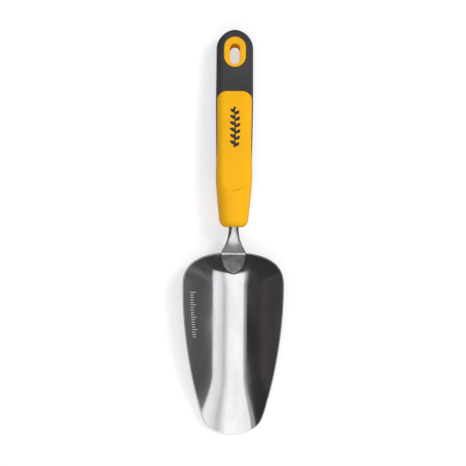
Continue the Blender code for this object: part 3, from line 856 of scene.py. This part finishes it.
def panel_point(x, s):
    """A point just over the front panel's surface."""
    section = Section(s, PANEL_PROUD)
    across = (abs(x) / (section.half_width + PANEL_PROUD)) ** (section.power / 2)
    angle = math.acos(max(-1.0, min(1.0, math.copysign(across, x))))
    return grip_point(s, x, section.at(angle)[1] + SPRIG_ABOVE)


def leaf(mesh, root, tip, width):
    """A lens-shaped leaf between two (x, s) points, as a thin patch on the panel."""
    direction = tip - root
    side = Vector((-direction.y, direction.x)).normalized()
    rows = []
    for i in range(LEAF_STEPS + 1):
        t = i / LEAF_STEPS
        half = width / 2 * (math.sin(math.pi * t) ** LEAF_POWER if 0 < i < LEAF_STEPS else 0.0)
        middle = root + direction * t + side * width * LEAF_CURL * math.sin(math.pi * t)
        rows.append(
            [panel_point(*(middle + side * half * share)) for share in spread(-1, 1, LEAF_ACROSS)]
        )
    grid(mesh, rows)


def stem_place(s):
    """How far down the sprig s is, from 0 to 1, and how far its stem bends to the side there."""
    down = (s - SPRIG_START) / (SPRIG_END - SPRIG_START)
    return down, STEM_BEND * math.sin(down * math.pi)


def print_mesh():
    """A generic sprig printed on the panel."""
    mesh = bmesh.new()
    stem = []
    for s in spread(SPRIG_START, SPRIG_END - STEM_TIP_GAP, STEM_STEPS):
        down, bend = stem_place(s)
        half = STEM_HALF_WIDTH + STEM_THICKENING * down
        stem.append([panel_point(bend + half * share, s) for share in (-1, 0, 1)])
    grid(mesh, stem)
    for i in range(LEAF_PAIRS):
        s = SPRIG_START + FIRST_PAIR + PAIR_STEP * i
        bend = stem_place(s)[1]
        reach = LEAF_REACH + LEAF_SWELL * math.sin(math.pi * i / (LEAF_PAIRS - 1))
        for side in (-1, 1):
            root = Vector((bend, s + (LEAF_STAGGER if side > 0 else 0.0)))
            leaf(mesh, root, root + Vector((side * reach, -LEAF_RISE)), LEAF_WIDTH)
    root, tip = (Vector((0.0, SPRIG_START + s)) for s in (TOP_LEAF_ROOT, TOP_LEAF_TIP))
    leaf(mesh, root, tip, TOP_LEAF_WIDTH)
    return mesh


def ticks_mesh():
    """Generic depth ticks etched on the blade's left wall."""
    mesh = bmesh.new()
    for i in range(TICKS):
        y = TICK_START_Y - TICK_STEP * i
        length = SHORT_TICK if i % LONG_EVERY else LONG_TICK
        edge = TICK_EDGE_X + TICK_EDGE_FOLLOW * (BLADE_HALF_WIDTH - side_half_width(y))
        rows = [
            [inner_point(x, y + half, TICK_ABOVE) for x in spread(edge, edge + length, 6)]
            for half in (-TICK_HALF_WIDTH, TICK_HALF_WIDTH)
        ]
        grid(mesh, rows)
    return mesh


# ---------------------------------------------------------------- materials


class Nodes:
    """A short way to write a node tree."""

    def __init__(self, name):
        self.material = bpy.data.materials.new(name)
        self.material.use_nodes = True
        self.tree = self.material.node_tree
        self.shader = self.tree.nodes["Principled BSDF"]

    def node(self, kind, **settings):
        node = self.tree.nodes.new(kind)
        for key, value in settings.items():
            setattr(node, key, value)
        return node

    def link(self, out, socket):
        self.tree.links.new(out, socket)

    def texture(self, scale, stretch=(1, 1, 1), detail=3.0, roughness=0.5, turn=0.0):
        """Noise in object coordinates. A stretch under 1 draws it out, turn turns it about Z."""
        place = self.node("ShaderNodeTexCoord")
        mapping = self.node("ShaderNodeMapping")
        mapping.vector_type = "TEXTURE"
        mapping.inputs["Scale"].default_value = [1 / share for share in stretch]
        mapping.inputs["Rotation"].default_value = (0, 0, turn)
        made = self.node("ShaderNodeTexNoise")
        made.inputs["Scale"].default_value = scale
        made.inputs["Detail"].default_value = detail
        made.inputs["Roughness"].default_value = roughness
        self.link(place.outputs["Object"], mapping.inputs["Vector"])
        self.link(mapping.outputs["Vector"], made.inputs["Vector"])
        return made.outputs["Fac"]

    def ramp(self, value, low, high, start=0.35, end=0.65):
        ramp = self.node("ShaderNodeValToRGB")
        ramp.color_ramp.elements[0].position = start
        ramp.color_ramp.elements[1].position = end
        ramp.color_ramp.elements[0].color = (*low, 1)
        ramp.color_ramp.elements[1].color = (*high, 1)
        self.link(value, ramp.inputs["Fac"])
        return ramp.outputs["Color"]

    def range(self, value, low, high, start=0.3, end=0.7):
        mapped = self.node("ShaderNodeMapRange")
        mapped.inputs["From Min"].default_value = start
        mapped.inputs["From Max"].default_value = end
        mapped.inputs["To Min"].default_value = low
        mapped.inputs["To Max"].default_value = high
        self.link(value, mapped.inputs["Value"])
        return mapped.outputs["Result"]

    def bump(self, value, strength, distance, onto=None):
        bump = self.node("ShaderNodeBump")
        bump.inputs["Strength"].default_value = strength
        bump.inputs["Distance"].default_value = distance
        self.link(value, bump.inputs["Height"])
        if onto:
            self.link(onto, bump.inputs["Normal"])
        return bump.outputs["Normal"]

    def add(self, a, b):
        total = self.node("ShaderNodeMath", operation="ADD")
        self.link(a, total.inputs[0])
        self.link(b, total.inputs[1])
        return total.outputs["Value"]

    def object_y(self):
        place = self.node("ShaderNodeTexCoord")
        split = self.node("ShaderNodeSeparateXYZ")
        self.link(place.outputs["Object"], split.inputs["Vector"])
        return split.outputs["Y"]

    def set(self, **values):
        """Values of the shader's own sockets, with _ for a space in a name."""
        for key, value in values.items():
            self.shader.inputs[key.replace("_", " ")].default_value = value

    def feed(self, **outs):
        """Links into the shader's sockets, with _ for a space in a name."""
        for key, out in outs.items():
            self.link(out, self.shader.inputs[key.replace("_", " ")])


def polished_steel():
    """Bright pressed sheet: drawn lines along it, slow waves, and hazy smudges on the walls."""
    n = Nodes("polished_steel")
    n.set(Metallic=1.0)
    cloud = n.texture(60, (1, 0.35, 1), 4)
    haze = n.texture(75, (1, 0.3, 1), 3, 0.5)
    wave = n.bump(n.texture(42, (1, 0.45, 1), 1), 0.5, 0.00007)
    lines = n.texture(1500, (1, 0.02, 1), 2)
    n.feed(
        Base_Color=n.ramp(cloud, (0.585, 0.582, 0.58), (0.685, 0.685, 0.70)),
        Roughness=n.range(haze, 0.09, 0.20, 0.45, 0.75),
        Normal=n.bump(lines, 0.35, 0.00001, wave),
    )
    return n.material


def forged_steel():
    """Satin forging, with the tongue ground rougher in slanting strokes than the neck."""
    n = Nodes("forged_steel")
    n.set(Metallic=1.0)
    strokes = n.texture(240, (1, 0.22, 1), 5, 0.62, turn=STROKE_TURN)
    ground = n.range(n.object_y(), 0.38, 0.24, GROUND_END_Y, GROUND_END_Y + GROUND_FADE)
    uneven = n.range(n.texture(260, (1, 0.3, 1), 4), -0.06, 0.08)
    dents = n.bump(n.texture(240, detail=2), 0.5, 0.00008)
    scratches = n.texture(1900, (1, 0.03, 1), 2, turn=STROKE_TURN)
    n.feed(
        Base_Color=n.ramp(strokes, (0.43, 0.43, 0.435), (0.68, 0.68, 0.69), 0.38, 0.64),
        Roughness=n.add(ground, uneven),
        Normal=n.bump(scratches, 0.35, 0.00002, dents),
    )
    return n.material


def sheared_steel():
    """The sheet's cut edge: painted shade darkens it towards the heel, where it is also rougher;
    bright and smoother towards the tip.
    """
    n = Nodes("sheared_edge")
    n.set(Metallic=1.0)
    # Painted shade: the edge's colour darkens from the tip towards the heel, and the same mask
    # also makes it rougher there.
    edge_painted_light_and_polish = n.range(n.object_y(), 1.0, 0.0, EDGE_UNSHADED_Y, EDGE_SHADED_Y)
    edge_painted_light_and_polish = n.add(edge_painted_light_and_polish, n.range(n.texture(300, detail=4), -0.12, 0.12))
    n.feed(
        Base_Color=n.ramp(edge_painted_light_and_polish, (0.15, 0.15, 0.155), (0.72, 0.72, 0.73), 0.0, 1.0),
        Roughness=n.range(edge_painted_light_and_polish, 0.42, 0.22, 0.0, 1.0),
        Normal=n.bump(n.texture(1800, detail=2), 0.4, 0.00002),
    )
    return n.material


def dull_steel(name, low, high, rough, grain, depth):
    """Steel between two colours, with a grain of this scale and depth."""
    n = Nodes(name)
    n.set(Metallic=1.0)
    n.feed(
        Base_Color=n.ramp(n.texture(400, detail=4), low, high),
        Roughness=n.range(n.texture(700, detail=4), *rough),
        Normal=n.bump(n.texture(grain, detail=2), 0.4, depth),
    )
    return n.material


def moulding(name, low, high, rough, grain, depth, **extra):
    """A moulded plastic or rubber: faint clouds, faint waves and a spark-eroded grain."""
    n = Nodes(name)
    n.set(**extra)
    wave = n.bump(n.texture(90, detail=1), 0.15, 0.0001)
    n.feed(
        Base_Color=n.ramp(n.texture(35, detail=4), low, high),
        Roughness=n.range(n.texture(500, detail=3), *rough),
        Normal=n.bump(n.texture(grain, detail=2), 0.5, depth, wave),
    )
    return n.material


# ---------------------------------------------------------------- studio


def area_light(name, place, size, radiance, colour=(1, 1, 1), glossy=True, aim=None):
    """A rectangular softbox of a given brightness, facing down or at a point."""
    data = bpy.data.lights.new(name, "AREA")
    data.shape = "RECTANGLE"
    data.size, data.size_y = size
    data.energy = radiance * math.pi * size[0] * size[1]
    data.color = colour
    light = bpy.data.objects.new(name, data)
    bpy.context.scene.collection.objects.link(light)
    light.location = place
    if aim is not None:
        light.rotation_euler = (Vector(aim) - Vector(place)).to_track_quat("-Z", "Y").to_euler()
    light.visible_glossy = glossy
    light.visible_camera = False


def make_world():
    """Pale for what the camera and matt surfaces see, dark for reflections, as in a light tent."""
    world = bpy.data.worlds.new("studio")
    bpy.context.scene.world = world
    world.use_nodes = True
    tree = world.node_tree
    tree.nodes.clear()
    rays = tree.nodes.new("ShaderNodeLightPath")
    pale = tree.nodes.new("ShaderNodeBackground")
    pale.inputs["Color"].default_value = (1.0, 1.0, 1.0, 1)
    pale.inputs["Strength"].default_value = PALE_STRENGTH
    dark = tree.nodes.new("ShaderNodeBackground")
    direction = tree.nodes.new("ShaderNodeTexCoord")
    split = tree.nodes.new("ShaderNodeSeparateXYZ")
    side = tree.nodes.new("ShaderNodeMapRange")
    side.inputs["From Min"].default_value = -1.0
    tree.links.new(direction.outputs["Generated"], split.inputs["Vector"])
    tree.links.new(split.outputs["X"], side.inputs["Value"])
    ramp = tree.nodes.new("ShaderNodeValToRGB")
    stops = ramp.color_ramp.elements
    for place, colour in SURROUND[1:-1]:
        stops.new(place)
    for stop, (place, colour) in zip(stops, SURROUND):
        stop.position = place
        stop.color = (*colour, 1)
    tree.links.new(side.outputs["Result"], ramp.inputs["Fac"])
    tree.links.new(ramp.outputs["Color"], dark.inputs["Color"])
    mix = tree.nodes.new("ShaderNodeMixShader")
    out = tree.nodes.new("ShaderNodeOutputWorld")
    tree.links.new(rays.outputs["Is Glossy Ray"], mix.inputs["Fac"])
    tree.links.new(pale.outputs["Background"], mix.inputs[1])
    tree.links.new(dark.outputs["Background"], mix.inputs[2])
    tree.links.new(mix.outputs["Shader"], out.inputs["Surface"])


def make_floor():
    """A plain pale paper floor, which reflections see darker."""
    mesh = bmesh.new()
    bmesh.ops.create_grid(mesh, x_segments=1, y_segments=1, size=FLOOR_HALF_SIZE)
    data = bpy.data.meshes.new("floor")
    mesh.to_mesh(data)
    mesh.free()
    floor = bpy.data.objects.new("floor", data)
    floor.location.z = -FLOOR_DROP
    bpy.context.scene.collection.objects.link(floor)
    n = Nodes("floor_paper")
    n.set(Base_Color=FLOOR_COLOUR, Roughness=FLOOR_ROUGHNESS, Specular_IOR_Level=FLOOR_SHINE)
    n.set(Emission_Color=FLOOR_GLOW_COLOUR, Emission_Strength=FLOOR_GLOW)
    shade = n.node("ShaderNodeBsdfDiffuse")
    shade.inputs["Color"].default_value = FLOOR_REFLECTED
    rays = n.node("ShaderNodeLightPath")
    mix = n.node("ShaderNodeMixShader")
    out = n.tree.nodes["Material Output"]
    n.link(rays.outputs["Is Glossy Ray"], mix.inputs["Fac"])
    n.link(n.shader.outputs["BSDF"], mix.inputs[1])
    n.link(shade.outputs["BSDF"], mix.inputs[2])
    n.link(mix.outputs["Shader"], out.inputs["Surface"])
    data.materials.append(n.material)


def make_lights():
    for i, (left, right, brightness, colour) in enumerate(CEILING_STRIPS):
        middle = Vector(((left + right) / 2, sum(CEILING_ENDS) / 2, CEILING_HEIGHT))
        size = (right - left, CEILING_ENDS[1] - CEILING_ENDS[0])
        area_light(f"ceiling_{i}", middle, size, brightness, colour)
    middle = Vector((sum(BACK_SIDES) / 2, sum(BACK_ENDS) / 2, CEILING_HEIGHT))
    size = (BACK_SIDES[1] - BACK_SIDES[0], BACK_ENDS[1] - BACK_ENDS[0])
    area_light("ceiling_back", middle, size, BACK_BRIGHTNESS)
    area_light("key", KEY_PLACE, KEY_SIZE, KEY_BRIGHTNESS, glossy=False, aim=(0, 0, 0))


def make_camera():
    """Straight above the tool, looking down."""
    data = bpy.data.cameras.new("camera")
    data.sensor_width = SENSOR_WIDTH
    data.lens = LENS
    camera = bpy.data.objects.new("camera", data)
    bpy.context.scene.collection.objects.link(camera)
    camera.location = CAMERA_PLACE
    camera.rotation_euler.z = CAMERA_TURN
    bpy.context.scene.camera = camera
    bpy.context.scene.view_settings.view_transform = "Standard"


def make_stage():
    make_floor()
    make_lights()
    make_world()
    make_camera()


def make_shell(piece, to_row, space=None):
    """Thickens an outer surface inwards, and cuts a space out of it if there is one."""
    shell = piece.modifiers.new("shell", "SOLIDIFY")
    shell.thickness = SHELL
    shell.offset = -1.0
    if space is None:
        return
    bmesh.ops.transform(space, matrix=to_row, verts=space.verts)
    bmesh.ops.recalc_face_normals(space, faces=space.faces)
    data = bpy.data.meshes.new("space")
    space.to_mesh(data)
    space.free()
    cutter = bpy.data.objects.new("space", data)
    bpy.context.scene.collection.objects.link(cutter)
    hole = piece.modifiers.new("hole", "BOOLEAN")
    hole.object = cutter
    hole.solver = "EXACT"
    bpy.context.view_layer.update()
    shaped = piece.evaluated_get(bpy.context.evaluated_depsgraph_get())
    shaped_data = bpy.data.meshes.new_from_object(shaped)
    piece.modifiers.clear()
    piece.data = shaped_data
    bpy.data.objects.remove(cutter)


def make_grip():
    """The two mouldings, the eyelet bush and the print, turned from the grip's frame."""
    to_row = Matrix.Translation(HANGING_END) @ Matrix.Rotation(-GRIP_TILT, 4, "X")
    charcoal = moulding(
        "charcoal_rubber", (0.032, 0.030, 0.033), (0.042, 0.039, 0.043), (0.45, 0.62),
        grain=2600, depth=0.00006, Sheen_Weight=0.25, Sheen_Roughness=0.35,
    )
    yellow = moulding(
        "yellow_moulding", (0.805, 0.388, 0.0005), (0.835, 0.411, 0.001), (0.38, 0.52),
        grain=3200, depth=0.00003, Specular_IOR_Level=0.22,
    )
    eyelet_yellow = moulding(
        "eyelet_moulding", (0.790, 0.389, 0.002), (0.820, 0.413, 0.004), (0.24, 0.34),
        grain=3200, depth=0.00002, Specular_IOR_Level=0.35,
    )
    ink = moulding(
        "print_ink", (0.020, 0.017, 0.018), (0.028, 0.024, 0.025), (0.5, 0.6),
        grain=4000, depth=0.00001,
    )

    def grip_piece(name, mesh, material, node=None, sharp=35):
        bmesh.ops.transform(mesh, matrix=to_row, verts=mesh.verts)
        return make_piece(name, mesh, material, node, sharp)

    back = grip_piece("grip_back_moulding", back_mesh(), charcoal, "grip_back")
    make_shell(back, to_row, eyelet_space())
    front = grip_piece(
        "grip_front_moulding", front_mesh(), yellow, "grip_front"
    )
    make_shell(front, to_row)
    grip_piece("eyelet_bush", eyelet_mesh(), eyelet_yellow, "hang_eyelet", 40)
    grip_piece("panel_print", print_mesh(), ink)


def make_head():
    """The blade, the shank and the weld between them."""
    bead = dull_steel(
        "weld_bead", (0.050, 0.048, 0.047), (0.13, 0.125, 0.12), (0.38, 0.55),
        grain=2500, depth=0.00004,
    )
    axis = Vector((0.0, -math.cos(GRIP_TILT), math.sin(GRIP_TILT)))
    nose = HANGING_END + axis * GRIP_LENGTH
    make_blade(polished_steel(), sheared_steel())
    make_piece("shank_forging", shank_mesh(nose), forged_steel(), "shank")
    make_piece("weld_bead", weld_mesh(), bead, "shank_weld", 60)


def make_ticks():
    etch = moulding(
        "etched_mark", (0.36, 0.36, 0.365), (0.46, 0.46, 0.465), (0.5, 0.7),
        grain=4000, depth=0.00001,
    )
    make_piece("blade_ticks", ticks_mesh(), etch)


def dress_core():
    """The CAD's own core stays, in its natural plastic."""
    natural = moulding(
        "core_moulding", (0.27, 0.28, 0.29), (0.33, 0.34, 0.35), (0.45, 0.6),
        grain=2500, depth=0.00003,
    )
    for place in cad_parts["handle_core"].material_slots:
        place.material = natural


make_head()
make_grip()
make_ticks()
dress_core()
make_stage()
